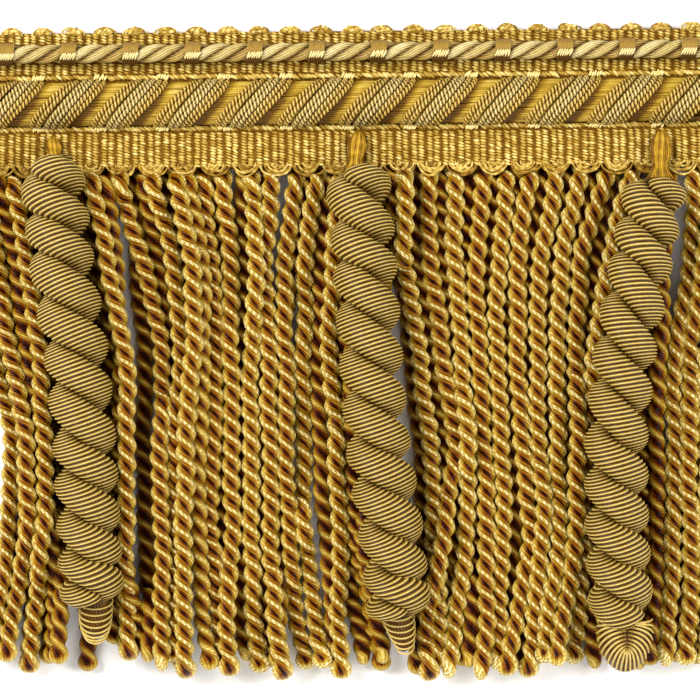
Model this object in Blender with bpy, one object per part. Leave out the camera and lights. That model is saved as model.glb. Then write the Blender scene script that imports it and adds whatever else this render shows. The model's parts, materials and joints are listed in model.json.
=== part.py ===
"""Cord fringe trim, lying face up.

A woven gimp heading carries a couched cord, a padded satin roll bound with slanting bundles of fine cord,
a skirt of looped, twisted cords in two rows, and three thick twisted hangers on yarn loops.
Frame: +X along the trim, +Y towards the heading's upper edge, +Z out of the face, origin at the middle of
the underside. Lengths are in metres; the tables are in millimetres, and MM turns them to metres.
"""

import math
from collections import namedtuple

import bmesh
import bpy

MM = 0.001

# Overall size: 25 scallops of the heading make the cut length
SCALLOP_PITCH = 7.76 * MM
SCALLOPS = 25
HALF_LENGTH = SCALLOP_PITCH * SCALLOPS / 2
REPEAT = 2 * SCALLOP_PITCH
TOP_EDGE_Y = 82.0 * MM
LOWER_EDGE_Y = 45.0 * MM

# Woven ground: flat under the upper part, lifted over the rows of cord roots at its lower edge
GROUND_THICKNESS = 2.0 * MM
RIB_RELIEF = 0.5 * MM
EDGE_DROP = 0.6 * MM
RAMP_TOP_Y = 56.2 * MM
RAMP_FOOT_Y = 52.6 * MM
GROUND_LIFT = 3.2 * MM
SAMPLES_PER_SCALLOP = 4
TOP_NOTCH = (0.0, 0.35 * MM, 1.7 * MM, 0.35 * MM)
LOWER_NOTCH = (2.0 * MM, 0.35 * MM, 0.0, 0.35 * MM)

# Couched cord along the top of the heading, held by a stitch at every repeat
COUCHED_Y = 75.2 * MM
COUCHED_CREST = 2.4 * MM
COUCHED_VALLEY = 1.75 * MM
COUCHED_LAY = 16.0 * MM
COUCHED_PLIES = 3
STITCH_RADIUS = 2.6 * MM
STITCH_WIDTH = 3.5 * MM
FIRST_STITCH_X = -85.3 * MM

# Padded roll and the bundles that bind it
ROLL_Y = 62.4 * MM
ROLL_BASE_Z = 2.3 * MM
ROLL_HALF_WIDTH = 5.2 * MM
ROLL_HEIGHT = 3.9 * MM
ROLL_WAIST = 0.9
BUNDLE_COUNT = 12
BUNDLE_WIDTH = 9.6 * MM
BUNDLE_SLANT = 12.8 * MM
BUNDLE_END_ANGLE = math.radians(78)
BUNDLE_STEPS = 7
BUNDLE_INNER = (5.6 * MM, 4.4 * MM)
BUNDLE_OUTER = (6.3 * MM, 5.4 * MM)

# Skirt cords
CORD_WIDTH = 3.8 * MM
CORD_HEIGHT = 4.1 * MM
BACK_ROW_Z = 0.0
FRONT_ROW_Z = 4.4 * MM
BACK_STRIP_Z = 0.0
FRONT_STRIP_Z = 1.6 * MM
STRIP_THICKNESS = 1.3 * MM
STRIP_LOW_Y = 46.2 * MM
STRIP_HIGH_Y = 51.8 * MM
ROOT_Y = 50.0 * MM
ROOT_INSET = 0.25 * MM
FULL_CORD_Y = 40.0 * MM
TIP_ROUNDING = 2.0 * MM
TIP_SCALE = 0.55
TIP_DRIFT = 0.3
SKIRT_SKEW = math.tan(math.radians(0.5))

# Hangers: two wound strands twisted together, 16 mm across
HANGER_CREST = 8.0 * MM
HANGER_NECK = 3.4 * MM
HANGER_STEPS_PER_TURN = 8
HANGER_REST_Z = 12.4 * MM
HANGER_TOP_Z = 14.6 * MM
HANGER_SETTLED_Y = 34.0 * MM

# Millimetres: where a cord lies across the trim at the heading's edge and 27, 57, 87 and 117 mm below it,
# and how far down its looped end reaches
SkirtCord = namedtuple("SkirtCord", "root at_27 at_57 at_87 at_117 tip_y")
STATION_Y = (45.0 * MM, 18.0 * MM, -12.0 * MM, -42.0 * MM, -72.0 * MM)

FRONT_CORDS = (
    SkirtCord(-94.8, -90.5, -86.5, -85.0, -90.5, -77.0),
    SkirtCord(-90.6, -85.5, -82.0, -80.3, -85.5, -76.0),
    SkirtCord(-85.5, -80.0, -77.0, -75.8, -80.0, -79.3),
    SkirtCord(-64.8, -59.2, -54.8, -56.0, -55.5, -76.3),
    SkirtCord(-58.0, -49.5, -48.0, -47.8, -47.6, -78.5),
    SkirtCord(-50.0, -43.8, -43.6, -43.3, -43.1, -77.5),
    SkirtCord(-44.5, -38.8, -39.3, -39.2, -38.8, -81.0),
    SkirtCord(-37.5, -34.0, -34.0, -35.0, -34.5, -78.5),
    SkirtCord(-31.3, -29.6, -29.5, -30.0, -30.3, -80.5),
    SkirtCord(-25.8, -24.6, -24.5, -24.5, -23.3, -79.8),
    SkirtCord(-19.5, -20.4, -20.0, -19.0, -17.8, -81.3),
    SkirtCord(-13.6, -16.2, -15.8, -14.8, -13.2, -79.3),
    SkirtCord(-9.6, -11.8, -11.4, -10.3, -8.5, -79.3),
    SkirtCord(-5.4, -5.3, -4.0, -2.3, -2.5, -81.5),
    SkirtCord(13.5, 14.5, 19.3, 20.9, 22.3, -79.0),
    SkirtCord(19.5, 20.5, 24.8, 25.2, 26.6, -82.0),
    SkirtCord(25.8, 26.5, 29.3, 29.6, 30.9, -81.0),
    SkirtCord(33.0, 31.5, 33.8, 34.1, 35.2, -81.8),
    SkirtCord(39.0, 36.3, 38.2, 38.8, 39.6, -80.8),
    SkirtCord(45.0, 41.0, 42.6, 43.9, 43.9, -81.3),
    SkirtCord(51.5, 47.0, 47.2, 48.4, 48.4, -78.0),
    SkirtCord(57.3, 51.8, 51.8, 52.8, 52.8, -78.5),
    SkirtCord(63.5, 56.8, 56.5, 57.2, 57.2, -79.0),
    SkirtCord(86.0, 85.0, 81.2, 80.8, 79.6, -78.5),
    SkirtCord(90.6, 89.3, 85.5, 85.4, 84.4, -79.0),
    SkirtCord(94.8, 93.6, 89.8, 89.7, 89.0, -80.0),
)
BACK_CORDS = (
    SkirtCord(-92.6, -87.6, -84.0, -82.6, -88.0, -74.5),
    SkirtCord(-88.2, -82.3, -79.6, -78.2, -82.6, -75.0),
    SkirtCord(-83.4, -78.0, -75.4, -74.0, -76.6, -78.0),
    SkirtCord(-79.0, -73.8, -71.2, -69.6, -72.3, -80.0),
    SkirtCord(-74.2, -69.4, -67.0, -65.2, -68.0, -77.0),
    SkirtCord(-69.6, -65.0, -62.6, -60.8, -63.6, -79.3),
    SkirtCord(-61.6, -60.2, -58.2, -56.4, -59.2, -73.0),
    SkirtCord(-57.0, -53.2, -51.2, -51.5, -50.5, -76.8),
    SkirtCord(-52.4, -47.4, -45.6, -45.5, -45.0, -77.0),
    SkirtCord(-47.0, -41.3, -41.3, -41.2, -40.8, -77.5),
    SkirtCord(-40.5, -36.3, -36.8, -37.0, -36.6, -78.5),
    SkirtCord(-34.5, -32.0, -31.8, -32.6, -32.2, -78.8),
    SkirtCord(-28.5, -26.8, -27.2, -27.3, -27.0, -77.5),
    SkirtCord(-22.3, -22.3, -22.0, -21.8, -21.0, -79.0),
    SkirtCord(-11.5, -14.2, -17.3, -17.0, -15.5, -78.0),
    SkirtCord(-6.8, -8.6, -7.8, -6.3, 1.6, -78.3),
    SkirtCord(-2.4, -1.2, -0.6, 1.8, 6.6, -80.0),
    SkirtCord(3.2, 3.8, 5.0, 7.4, 11.2, -76.5),
    SkirtCord(7.7, 8.2, 9.4, 11.8, 15.6, -76.0),
    SkirtCord(12.2, 12.8, 14.6, 17.6, 21.6, -78.2),
    SkirtCord(16.6, 17.6, 22.0, 22.4, 26.0, -79.5),
    SkirtCord(22.8, 23.6, 27.0, 28.0, 30.2, -79.0),
    SkirtCord(29.5, 29.2, 31.5, 32.5, 34.6, -79.0),
    SkirtCord(36.0, 34.0, 35.8, 36.8, 39.0, -80.0),
    SkirtCord(42.0, 38.8, 40.1, 41.1, 43.3, -79.0),
    SkirtCord(48.3, 44.2, 44.8, 45.8, 47.5, -79.5),
    SkirtCord(54.5, 49.5, 49.5, 50.3, 51.7, -77.5),
    SkirtCord(60.5, 55.6, 54.0, 55.0, 56.0, -77.8),
    SkirtCord(65.2, 60.0, 58.4, 59.3, 61.0, -80.0),
    SkirtCord(69.8, 64.4, 62.8, 63.6, 65.4, -78.5),
    SkirtCord(74.6, 71.0, 68.6, 70.0, 70.6, -79.0),
    SkirtCord(79.6, 78.0, 77.3, 77.8, 76.5, -78.0),
    SkirtCord(88.2, 87.0, 83.4, 83.0, 82.0, -78.0),
    SkirtCord(92.8, 91.6, 87.8, 87.4, 86.6, -77.5),
)

# Millimetres: a hanger's place across the trim at the same depths, its upper end, its lower end, the
# half-width and length of its last turn, where the first groove of its twist crosses the front, and its lay
Hanger = namedtuple("Hanger", "root at_27 at_57 at_87 at_117 top_y tip_y end_half end_length groove_y lay")
HANGERS = (
    Hanger(-74.0, -70.8, -67.0, -65.0, -64.0, 48.6, -71.5, 4.4, 9.5, 41.5, 19.8),
    Hanger(2.9, 4.3, 6.8, 9.8, 12.9, 46.0, -76.3, 4.2, 10.5, 40.3, 20.4),
    Hanger(76.4, 71.8, 66.8, 66.5, 67.6, 43.0, -81.2, 6.2, 4.0, 38.0, 19.8),
)

# Millimetres: a hanger loop's place across the trim at the heading and at the hanger, the height on the
# trim where it leaves the heading and where it meets the hanger, and its widest half-width
YarnLoop = namedtuple("YarnLoop", "heading_x hanger_x heading_y hanger_y half_width")
YARN_LOOPS = (
    YarnLoop(-74.6, -75.0, 53.6, 50.4, 1.7),
    YarnLoop(1.7, 1.9, 54.8, 47.8, 2.0),
    YarnLoop(78.4, 77.4, 54.8, 44.8, 2.4),
)
LOOP_LENS = ((0.0, 0.3, 0.3), (0.35, 1.0, 1.0), (0.7, 0.85, 1.0), (1.0, 0.55, 0.7))
LOOP_THICKNESS = 2.2 * MM
LOOP_CLEARANCE = 0.5 * MM

# Colour, roughness and metallic value of each material
MATERIALS = {
    "ground_gimp": ((0.47, 0.31, 0.08), 0.45, 0.0),
    "couched_cord": ((0.62, 0.50, 0.24), 0.4, 0.0),
    "satin_roll": ((0.45, 0.29, 0.05), 0.35, 0.0),
    "bundle_cord": ((0.55, 0.40, 0.15), 0.45, 0.0),
    "skirt_cord": ((0.44, 0.27, 0.05), 0.4, 0.0),
    "hanger_gimp": ((0.45, 0.32, 0.09), 0.4, 0.0),
    "loop_yarn": ((0.58, 0.34, 0.03), 0.5, 0.0),
}


def material(name):
    """The named Principled BSDF material, made on first use."""
    found = bpy.data.materials.get(name)
    if found:
        return found
    colour, roughness, metallic = MATERIALS[name]
    made = bpy.data.materials.new(name)
    made.use_nodes = True
    shader = made.node_tree.nodes["Principled BSDF"]
    shader.inputs["Base Color"].default_value = (*colour, 1.0)
    shader.inputs["Roughness"].default_value = roughness
    shader.inputs["Metallic"].default_value = metallic
    return made


def add_object(name, bm, material_name, helper_in=None):
    """Puts a bmesh in the scene as a named object. A helper goes into its own collection, out of the render."""
    bmesh.ops.recalc_face_normals(bm, faces=bm.faces)
    mesh = bpy.data.meshes.new(name)
    bm.to_mesh(mesh)
    bm.free()
    made = bpy.data.objects.new(name, mesh)
    made.data.materials.append(material(material_name))
    (helper_in or bpy.context.scene.collection).objects.link(made)
    if helper_in:
        made.hide_render = True
        made.display_type = "WIRE"
    return made


def loft(name, rings, material_name, helper_in=None):
    """A closed solid through rings that all have the same number of points."""
    bm = bmesh.new()
    loops = [[bm.verts.new(point) for point in ring] for ring in rings]
    count = len(loops[0])
    for near, far in zip(loops, loops[1:]):
        for i in range(count):
            j = (i + 1) % count
            bm.faces.new((near[i], near[j], far[j], far[i]))
    bm.faces.new(loops[0][::-1])
    bm.faces.new(loops[-1])
    return add_object(name, bm, material_name, helper_in)


def across_at(row, y):
    """Where a skirt cord or hanger lies across the trim at height y: straight between its stations,
    drifting on past the last one."""
    places = [row.root * MM, row.at_27 * MM, row.at_57 * MM, row.at_87 * MM, row.at_117 * MM]
    skew = SKIRT_SKEW * y
    if y >= STATION_Y[0]:
        return places[0] + skew
    for i in range(len(STATION_Y) - 1):
        if y >= STATION_Y[i + 1]:
            share = (STATION_Y[i] - y) / (STATION_Y[i] - STATION_Y[i + 1])
            return places[i] + share * (places[i + 1] - places[i]) + skew
    beyond = (STATION_Y[-1] - y) / (STATION_Y[-2] - STATION_Y[-1])
    return places[-1] + TIP_DRIFT * beyond * (places[-1] - places[-2]) + skew


def heading_ground():
    """The woven strip: ribs in pairs run up it, its upper edge is scalloped and its lower edge loops."""
    count = SCALLOPS * SAMPLES_PER_SCALLOP
    xs = [-HALF_LENGTH + i * SCALLOP_PITCH / SAMPLES_PER_SCALLOP for i in range(count + 1)]
    thick = GROUND_THICKNESS
    rows = (
        (80.4 * MM, thick, RIB_RELIEF),
        (69.8 * MM, thick, RIB_RELIEF),
        (69.2 * MM, thick, 0.0),
        (RAMP_TOP_Y, thick, 0.0),
        (RAMP_TOP_Y - 0.6 * MM, thick + 0.5 * MM, RIB_RELIEF),
        (RAMP_FOOT_Y - 0.2 * MM, thick + GROUND_LIFT, RIB_RELIEF),
        (48.0 * MM, thick + GROUND_LIFT, RIB_RELIEF),
    )
    bm = bmesh.new()

    def line(y_of, z_of):
        return [bm.verts.new((x, y_of(i), z_of(i))) for i, x in enumerate(xs)]

    def top_y(i):
        return TOP_EDGE_Y - TOP_NOTCH[i % SAMPLES_PER_SCALLOP]

    def low_y(i):
        return LOWER_EDGE_Y + LOWER_NOTCH[i % SAMPLES_PER_SCALLOP]

    lifted = GROUND_LIFT + thick - EDGE_DROP
    lines = [line(top_y, lambda i: thick - EDGE_DROP)]
    for y, z, relief in rows:
        lines.append(line(lambda i, y=y: y, lambda i, z=z, relief=relief: z + relief * (i % 2)))
    lines.append(line(low_y, lambda i: lifted))
    for upper, lower in zip(lines, lines[1:]):
        for i in range(count):
            bm.faces.new((upper[i], lower[i], lower[i + 1], upper[i + 1]))
    under_top = line(top_y, lambda i: 0.0)
    under_low = line(low_y, lambda i: GROUND_LIFT)
    ramp_top = [bm.verts.new((x, RAMP_TOP_Y, 0.0)) for x in (xs[0], xs[-1])]
    ramp_foot = [bm.verts.new((x, RAMP_FOOT_Y, GROUND_LIFT)) for x in (xs[0], xs[-1])]
    for i in range(count):
        bm.faces.new((lines[0][i], lines[0][i + 1], under_top[i + 1], under_top[i]))
        bm.faces.new((lines[-1][i], under_low[i], under_low[i + 1], lines[-1][i + 1]))
    bm.faces.new([*under_top, ramp_top[1], ramp_top[0]])
    bm.faces.new([ramp_top[0], ramp_top[1], ramp_foot[1], ramp_foot[0]])
    bm.faces.new([ramp_foot[0], ramp_foot[1], *under_low[::-1]])
    for end in (0, -1):
        upper_side = [row[end] for row in lines]
        bm.faces.new([*upper_side, under_low[end], ramp_foot[end], ramp_top[end], under_top[end]])
    return add_object("heading_ground", bm, "ground_gimp")


def repeat_places(count):
    """The middle of each couching stitch and bundle along the trim."""
    return [FIRST_STITCH_X + i * REPEAT for i in range(count)]


def couched_cord():
    """A three-ply cord along the heading, swelling to a collar where a stitch goes over it."""
    steps = round(2 * HALF_LENGTH / (COUCHED_LAY / 8))
    middle_z = GROUND_THICKNESS + RIB_RELIEF + 0.3 * MM + STITCH_RADIUS
    sides = 2 * COUCHED_PLIES
    rings = []
    for step in range(steps + 1):
        x = -HALF_LENGTH + 2 * HALF_LENGTH * step / steps
        stitched = any(abs(x - place) < STITCH_WIDTH / 2 for place in repeat_places(BUNDLE_COUNT))
        turn = 2 * math.pi * x / COUCHED_LAY
        ring = []
        for side in range(sides):
            radius = COUCHED_VALLEY if side % 2 else COUCHED_CREST
            radius = STITCH_RADIUS if stitched else radius
            angle = turn + 2 * math.pi * side / sides
            ring.append((x, COUCHED_Y + radius * math.cos(angle), middle_z + radius * math.sin(angle)))
        rings.append(ring)
    return loft("couched_cord", rings, "couched_cord")


def padded_roll():
    """The half-round satin roll, a little drawn in where each bundle binds it."""
    rings = []
    places = repeat_places(BUNDLE_COUNT)
    stations = sorted([-HALF_LENGTH, HALF_LENGTH, *places, *[p + REPEAT / 2 for p in places[:-1]]])
    for x in stations:
        scale = ROLL_WAIST if x in places else 1.0
        arc = [math.pi * i / 6 for i in range(7)]
        rings.append(
            [
                (
                    x,
                    ROLL_Y + scale * ROLL_HALF_WIDTH * math.cos(angle),
                    ROLL_BASE_Z + scale * ROLL_HEIGHT * math.sin(angle),
                )
                for angle in arc
            ]
        )
    return loft("satin_roll", rings, "satin_roll")


def bundle(number, middle_x):
    """One flat bundle of fine cords, slanting over the roll from its lower edge to its upper edge."""
    rings = []
    for step in range(BUNDLE_STEPS + 1):
        angle = BUNDLE_END_ANGLE * (2 * step / BUNDLE_STEPS - 1)
        x = middle_x + BUNDLE_SLANT * angle / math.pi
        ring = []
        for side, (half_width, height) in (
            (-1, BUNDLE_INNER),
            (1, BUNDLE_INNER),
            (1, BUNDLE_OUTER),
            (-1, BUNDLE_OUTER),
        ):
            y = ROLL_Y + half_width * math.sin(angle)
            z = ROLL_BASE_Z + height * math.cos(angle)
            ring.append((x + side * BUNDLE_WIDTH / 2, y, z))
        rings.append(ring)
    return loft(f"bundle_{number:02d}", rings, "bundle_cord")


def skirt_cord(name, row, floor_z, root_z, helper_in):
    """One four-sided skirt cord: flattened where it is caught in the strip, then full, with a rounded end."""
    tip_y = row.tip_y * MM
    full = (CORD_WIDTH, CORD_HEIGHT, floor_z)
    root = (CORD_WIDTH * 0.8, STRIP_THICKNESS - 2 * ROOT_INSET, root_z + ROOT_INSET)
    tip_height = CORD_HEIGHT * TIP_SCALE
    tip = (CORD_WIDTH * TIP_SCALE, tip_height, floor_z + (CORD_HEIGHT - tip_height) / 2)
    sections = [(ROOT_Y, root), (STATION_Y[0], root), (FULL_CORD_Y, full)]
    sections += [(y, full) for y in STATION_Y[1:] if y > tip_y + TIP_ROUNDING]
    sections += [(tip_y + TIP_ROUNDING, full), (tip_y, tip)]
    rings = []
    for y, (width, height, bottom) in sections:
        x = across_at(row, y)
        rings.append(
            [
                (x - width / 2, y, bottom),
                (x + width / 2, y, bottom),
                (x + width / 2, y, bottom + height),
                (x - width / 2, y, bottom + height),
            ]
        )
    return loft(name, rings, "skirt_cord", helper_in)


def skirt_row(name, rows, floor_z, strip_z):
    """A row of skirt cords, fused at their roots into one narrow strip."""
    low, high = STRIP_LOW_Y, STRIP_HIGH_Y
    top = strip_z + STRIP_THICKNESS
    rings = [
        [(x, low, strip_z), (x, high, strip_z), (x, high, top), (x, low, top)]
        for x in (-HALF_LENGTH, HALF_LENGTH)
    ]
    strip = loft(name, rings, "skirt_cord")
    cords = bpy.data.collections.new(f"{name}_cords")
    bpy.context.scene.collection.children.link(cords)
    for number, row in enumerate(rows, 1):
        skirt_cord(f"{name}_cord_{number:02d}", row, floor_z, strip_z, cords)
    union = strip.modifiers.new("roots", "BOOLEAN")
    union.operation = "UNION"
    union.operand_type = "COLLECTION"
    union.collection = cords
    union.solver = "EXACT"
    return strip


def hanger_middle_z(y, top_y):
    """The hanger's axis stands higher over the heading's edge and settles on to the skirt below it."""
    share = min(1.0, max(0.0, (y - HANGER_SETTLED_Y) / (top_y - HANGER_SETTLED_Y)))
    return HANGER_REST_Z + (HANGER_TOP_Z - HANGER_REST_Z) * share


def hanger(number, row):
    """A two-strand rope, its strands' twist raised as two lobes that turn as it goes down."""
    top_y, tip_y = row.top_y * MM, row.tip_y * MM
    lay = row.lay * MM
    steps = round((top_y - tip_y) / lay * HANGER_STEPS_PER_TURN)
    lobe = ((0, 1.0), (40, 0.8), (90, 0.0), (140, 0.8), (180, 1.0), (220, 0.8), (270, 0.0), (320, 0.8))
    rings = []
    for step in range(steps + 1):
        y = top_y + (tip_y - top_y) * step / steps
        last = min(1.0, (y - tip_y) / (row.end_length * MM))
        crest = row.end_half * MM + (HANGER_CREST - row.end_half * MM) * last
        neck = min(HANGER_NECK, crest)
        closing = 0.6 if step in (0, steps) else 1.0
        turn = -2 * math.pi * (row.groove_y * MM - y) / lay
        middle_x, middle_z = across_at(row, y), hanger_middle_z(y, top_y)
        ring = []
        for degrees, share in lobe:
            radius = closing * (neck + (crest - neck) * share)
            angle = turn + math.radians(degrees)
            ring.append((middle_x + radius * math.cos(angle), y, middle_z + radius * math.sin(angle)))
        rings.append(ring)
    return loft(f"hanger_{number}", rings, "hanger_gimp")


def yarn_loop(number, row, hanger_row):
    """The leaf-shaped loop of soft yarn that a hanger hangs from."""
    rings = []
    ground_top = GROUND_THICKNESS + GROUND_LIFT + RIB_RELIEF + LOOP_CLEARANCE
    hanger_z = hanger_middle_z(hanger_row.top_y * MM, hanger_row.top_y * MM)
    rise = hanger_z - LOOP_THICKNESS / 2 - ground_top
    for share, width_share, thick_share in LOOP_LENS:
        x = (row.heading_x + (row.hanger_x - row.heading_x) * share) * MM
        y = (row.heading_y + (row.hanger_y - row.heading_y) * share) * MM
        half = row.half_width * MM * width_share
        thick = LOOP_THICKNESS * thick_share
        bottom = ground_top + rise * share**2
        middle = bottom + thick / 2
        rings.append(
            [
                (x - half, y, middle),
                (x - half / 2, y, bottom),
                (x + half / 2, y, bottom),
                (x + half, y, middle),
                (x + half / 2, y, bottom + thick),
                (x - half / 2, y, bottom + thick),
            ]
        )
    return loft(f"yarn_loop_{number}", rings, "loop_yarn")


def main():
    for leftover in list(bpy.data.objects):
        bpy.data.objects.remove(leftover)
    heading_ground()
    couched_cord()
    padded_roll()
    for number, place in enumerate(repeat_places(BUNDLE_COUNT), 1):
        bundle(number, place)
    skirt_row("fringe_front", FRONT_CORDS, FRONT_ROW_Z, FRONT_STRIP_Z)
    skirt_row("fringe_back", BACK_CORDS, BACK_ROW_Z, BACK_STRIP_Z)
    for number, (row, loop) in enumerate(zip(HANGERS, YARN_LOOPS), 1):
        hanger(number, row)
        yarn_loop(number, loop, row)


main()
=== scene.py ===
"""Cord fringe trim, lying face up: its finish, thread by thread.

Every thread, cord and cloth here is a closed tube: a ring of corners carried along a path. A function works
out all the tubes of one kind at once, as arrays indexed by tube, ring and corner, in millimetres.
X runs along the trim, Y towards the heading's upper edge and Z out of the face, as in the frame.
"""

import json
import math
from collections import namedtuple

import bpy
import numpy as np
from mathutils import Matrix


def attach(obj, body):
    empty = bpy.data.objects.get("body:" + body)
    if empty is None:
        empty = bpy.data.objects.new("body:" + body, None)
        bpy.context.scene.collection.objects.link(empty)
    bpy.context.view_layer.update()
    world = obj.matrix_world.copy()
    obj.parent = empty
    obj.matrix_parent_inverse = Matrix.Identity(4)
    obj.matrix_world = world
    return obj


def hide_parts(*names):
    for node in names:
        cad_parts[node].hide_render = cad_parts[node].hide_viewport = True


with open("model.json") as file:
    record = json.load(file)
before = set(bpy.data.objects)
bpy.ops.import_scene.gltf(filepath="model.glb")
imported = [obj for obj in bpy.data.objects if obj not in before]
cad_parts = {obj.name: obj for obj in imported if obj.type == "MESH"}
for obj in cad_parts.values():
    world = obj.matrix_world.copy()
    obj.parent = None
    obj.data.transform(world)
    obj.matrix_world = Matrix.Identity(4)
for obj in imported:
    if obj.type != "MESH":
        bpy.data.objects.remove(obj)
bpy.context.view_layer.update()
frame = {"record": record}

MM = 0.001

# The heading's driving sizes, in millimetres
HALF_LENGTH = frame["record"]["size"]["bbox_m"][0] / MM / 2
SCALLOP = 7.76
REPEAT = 2 * SCALLOP
COLUMN = SCALLOP / 4
BAR_STEP = 0.72
TOP_PHASE = 1.2
LOWER_PHASE = -2.5
FIRST_STITCH_X = -85.3
STITCHES = 12
GROUND_TOP = 1.9
RAMP_TOP_Y = 56.4
RAMP_FOOT_Y = 52.4
GROUND_LIFT = 3.1
COUCHED_Y = 75.2
COUCHED_Z = 4.5
ROLL_Y = 62.6
ROLL_Z = 2.1
BUNDLE_SHEAR = 5.0

# The skirt's
SKIRT_SKEW = math.tan(math.radians(0.5))
CORD_LAY = 8.85
CORD_STACK = 3.9
FLOOR_CORD_Z = 2.15
ROOT_Y = 50.0
TIP_LENGTH = 2.3
FROZEN_LENGTH = 2.6

# The hangers'
HANGER_Z = 12.4
HANGER_TOP_Z = 14.4
HANGER_SETTLED_Y = 34.0
STRAND_OFFSET = 3.9
STRAND_RADIUS = 4.0
STRAND_BREADTH = 4.9
WRAP_PITCH = 0.87
WRAP_RELIEF = 0.22
WRAP_RISE = 0.26

# Millimetres: where a cord lies across the trim at these heights, and where its looped end is. A cord of a
# higher layer lies over those of the lower ones.
STATION_Y = (45.0, 23.0, 0.5, -22.0, -44.5, -67.0)
Cord = namedtuple("Cord", "layer at_45 at_23 at_0 at_22 at_44 at_67 tip_x tip_y")
FRONT_CORDS = (
    Cord(3, -94.8, -92.5, -88.8, -84.5, -85.5, -88.3, -89.0, -75.8),
    Cord(3, -90.8, -88.5, -84.8, -80.3, -80.3, -84.5, -86.5, -76.3),
    Cord(3, -84.5, -80.5, -77.5, -75.9, -76.0, -79.3, -80.5, -79.5),
    Cord(3, -64.5, -60.5, -55.8, -55.3, -56.0, -55.5, -55.3, -76.3),
    Cord(3, -58.3, -51.8, -46.6, -47.6, -46.8, -46.8, -46.8, -78.3),
    Cord(1, -50.0, -43.9, -42.3, -44.0, -43.8, -43.8, -43.8, -77.0),
    Cord(3, -44.3, -39.0, -39.0, -41.0, -41.3, -41.6, -40.3, -80.8),
    Cord(1, -37.0, -34.8, -33.3, -34.3, -35.0, -32.8, -32.3, -78.3),
    Cord(3, -31.8, -29.9, -29.8, -29.5, -29.5, -30.8, -30.3, -80.3),
    Cord(3, -25.0, -23.0, -24.8, -24.9, -24.6, -24.3, -21.8, -80.0),
    Cord(2, -19.5, -21.3, -20.4, -19.9, -19.8, -19.0, -16.1, -81.5),
    Cord(1, -12.8, -16.8, -16.0, -16.0, -15.3, -13.3, -11.0, -79.5),
    Cord(3, -8.3, -11.3, -11.8, -11.8, -11.5, -8.9, -6.0, -79.0),
    Cord(3, -2.0, -4.3, -5.3, -3.4, -2.5, -2.8, -2.3, -81.5),
    Cord(1, 13.5, 13.6, 17.0, 20.1, 21.0, 22.3, 21.5, -79.5),
    Cord(3, 19.3, 20.0, 23.0, 26.5, 23.8, 19.0, 20.0, -82.0),
    Cord(3, 26.0, 26.3, 27.8, 29.3, 29.5, 26.3, 24.8, -81.0),
    Cord(3, 33.5, 31.5, 32.1, 33.5, 34.3, 34.0, 33.0, -81.5),
    Cord(1, 39.5, 37.3, 36.5, 38.0, 38.4, 37.3, 36.5, -79.5),
    Cord(3, 45.0, 41.8, 41.9, 42.8, 45.5, 41.8, 38.8, -80.8),
    Cord(3, 52.0, 47.5, 46.8, 47.1, 48.5, 45.9, 44.5, -81.5),
    Cord(3, 58.0, 52.8, 51.9, 51.8, 52.5, 49.6, 48.3, -78.0),
    Cord(3, 64.8, 57.4, 56.5, 56.8, 56.6, 53.5, 50.8, -78.3),
    Cord(2, 70.8, 64.8, 61.5, 58.8, 58.5, 57.3, 55.8, -78.8),
    Cord(3, 85.8, 85.5, 81.1, 81.0, 81.3, 79.8, 79.0, -79.0),
    Cord(3, 91.3, 88.3, 85.3, 84.6, 85.1, 85.5, 83.5, -79.0),
    Cord(3, 94.8, 93.0, 89.0, 88.8, 89.0, 89.8, 89.8, -79.5),
)
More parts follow.
